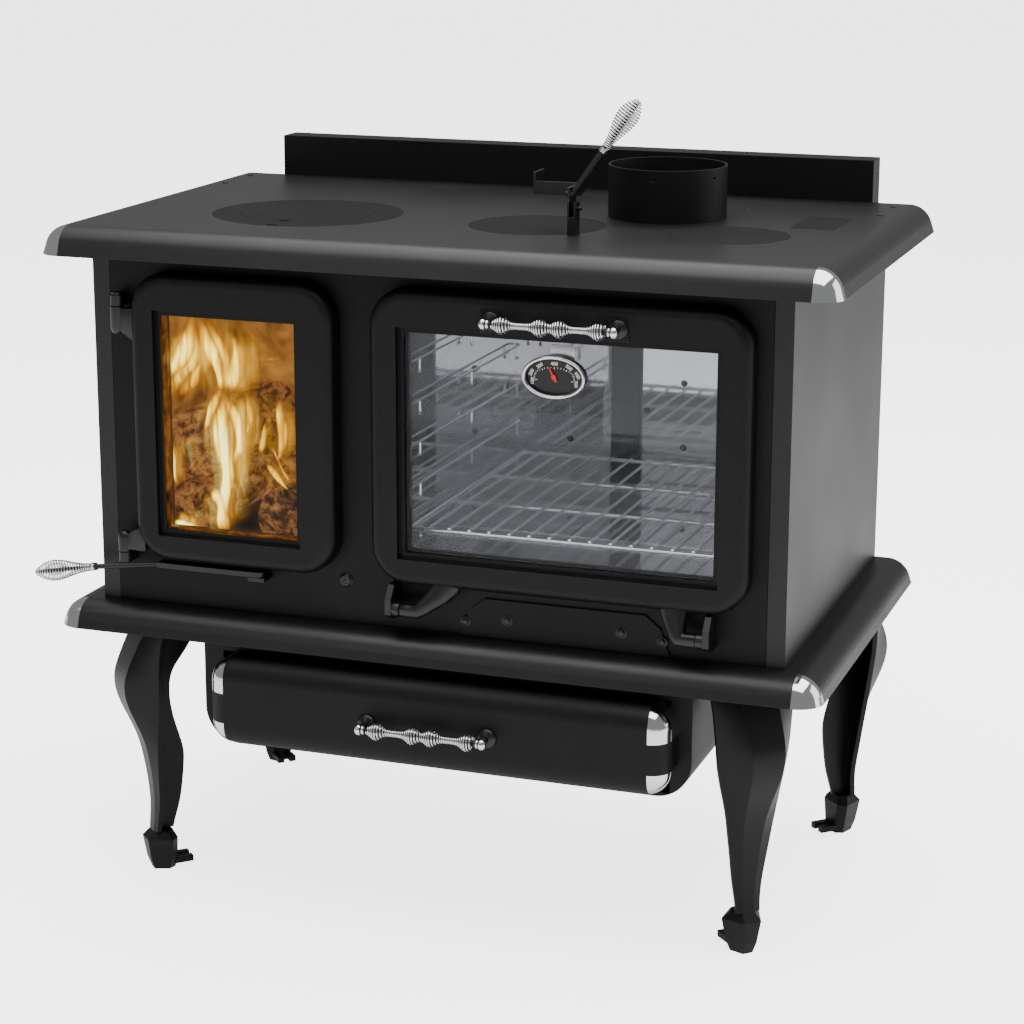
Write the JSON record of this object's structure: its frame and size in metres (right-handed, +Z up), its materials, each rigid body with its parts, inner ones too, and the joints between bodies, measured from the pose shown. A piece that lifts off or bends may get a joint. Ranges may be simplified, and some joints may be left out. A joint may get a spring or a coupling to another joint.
{
  "type": "wood burning stove",
  "caption": "Wood burning cookstove with a glazed firebox, a glazed oven, a flat cooktop, an ash drawer and cabriole legs.",
  "frame": {"origin": "middle of the whole object's footprint box, on the floor", "axes": "+X to the right seen from the front, +Y from the front to the back, +Z up"},
  "size_m": [1.034, 0.6708, 1.03],
  "materials": {
    "body_steel": "satin black stove paint on steel sheet",
    "side_steel": "satin charcoal stove paint with a fine grain",
    "cooktop_steel": "matt charcoal stove paint on plate",
    "door_casting": "painted black cast iron",
    "leg_casting": "painted black cast iron",
    "burner_casting": "flat black cast iron",
    "fittings": "black hinge and lever steel",
    "chrome_trim": "bright chrome",
    "wire_grip": "chromed spring wire",
    "oven_steel": "plain steel sheet",
    "rack_wire": "bright wire",
    "fire_glass": "clear ceramic glass",
    "oven_glass": "clear glass",
    "rope_gasket": "woven glass rope",
    "firebrick": "sand coloured firebrick",
    "baffle_board": "pressed vermiculite board",
    "firebox_steel": "heat stained steel",
    "firewood": "barked log",
    "gauge_case": "chrome bezel",
    "gauge_needle": "red enamel"
  },
  "bodies": {
    "stove": {"front_plate": "body_steel", "left_side_panel": "side_steel", "right_side_panel": "side_steel", "back_panel": "body_steel", "bottom_plate": "body_steel", "cooktop": "cooktop_steel", "cooktop_corners": "chrome_trim", "base_tray": "body_steel", "tray_corners": "chrome_trim", "flue_collar": "body_steel", "rear_heat_shield": "body_steel", "leg_front_left": "leg_casting", "leg_front_right": "leg_casting", "leg_back_left": "leg_casting", "leg_back_right": "leg_casting", "leg_bolts": "fittings", "cooktop_plates": "burner_casting", "cooktop_screws": "fittings", "firebox_shell": "firebox_steel", "firebricks": "firebrick", "fire_grate": "burner_casting", "baffle_plate": "baffle_board", "air_tubes": "firebox_steel", "fire_logs": "firewood", "oven_liner": "oven_steel", "rack_supports": "rack_wire", "oven_rack": "rack_wire", "cleanout_cover": "body_steel", "front_buttons": "fittings", "hinge_brackets": "fittings", "hinge_pins": "fittings", "drawer_housing": "body_steel", "damper_post": "fittings"},
    "fire_door": {"fire_door_frame": "door_casting", "fire_door_glass": "fire_glass", "fire_glass_retainer": "fittings", "fire_door_gasket": "rope_gasket", "fire_hinge_barrels": "fittings"},
    "oven_door": {"oven_door_frame": "door_casting", "oven_door_glass": "oven_glass", "oven_glass_retainer": "fittings", "oven_door_gasket": "rope_gasket", "oven_hinge_arms": "fittings", "oven_handle": "fittings", "oven_handle_coil": "wire_grip", "thermometer_case": "gauge_case"},
    "gauge_needle": {"thermometer_needle": "gauge_needle"},
    "latch": {"latch_lever": "fittings", "latch_grip": "wire_grip"},
    "ash_drawer": {"drawer_pan": "body_steel", "drawer_front": "body_steel", "drawer_corners": "chrome_trim", "drawer_handle": "fittings", "drawer_handle_coil": "wire_grip"},
    "air_slide": {"air_knob": "chrome_trim"},
    "damper": {"damper_lever": "fittings", "damper_grip": "wire_grip"},
    "flue_flap": {"damper_flap": "firebox_steel"},
    "burner_ring": {"burner_ring": "burner_casting"},
    "burner_lid": {"burner_lid": "burner_casting"}
  },
  "joints": [
    {"name": "fire_door_swing", "type": "hinge", "parent": "stove", "child": "fire_door", "pos_m": [-0.40197, -0.26085, 0.6], "axis": [0, 0, -1], "range_deg": [0, 110]},
    {"name": "oven_door_drop", "type": "hinge", "parent": "stove", "child": "oven_door", "pos_m": [0.17503, -0.26785, 0.413], "axis": [1, 0, 0], "range_deg": [0, 90]},
    {"name": "gauge_turn", "type": "hinge", "parent": "oven_door", "child": "gauge_needle", "pos_m": [0.17453, -0.26885, 0.718], "axis": [0, 1, 0], "range_deg": [-90, 150]},
    {"name": "latch_swing", "type": "hinge", "parent": "stove", "child": "latch", "pos_m": [-0.21746, -0.25685, 0.4367], "axis": [0, 0, 1], "range_deg": [0, 70]},
    {"name": "drawer_slide", "type": "slide", "parent": "stove", "child": "ash_drawer", "axis": [0, -1, 0], "range_m": [0, 0.32]},
    {"name": "air_slide_move", "type": "slide", "parent": "stove", "child": "air_slide", "axis": [1, 0, 0], "range_m": [0, 0.05]},
    {"name": "damper_lift", "type": "hinge", "parent": "stove", "child": "damper", "pos_m": [0.14703, -0.11185, 0.896], "axis": [1, 0, 0], "range_deg": [0, 60]},
    {"name": "flap_turn", "type": "hinge", "parent": "stove", "child": "flue_flap", "pos_m": [0.21104, -0.00265, 0.847], "axis": [1, 0, 0], "range_deg": [0, 60]},
    {"name": "ring_lift", "type": "slide", "parent": "stove", "child": "burner_ring", "axis": [0, 0, 1], "range_m": [0, 0.08]},
    {"name": "lid_lift", "type": "slide", "parent": "burner_ring", "child": "burner_lid", "axis": [0, 0, 1], "range_m": [0, 0.08]}
  ],
  "couplings": [
    {"joint": "flap_turn", "follows": "damper_lift", "ratio": 1}
  ]
}
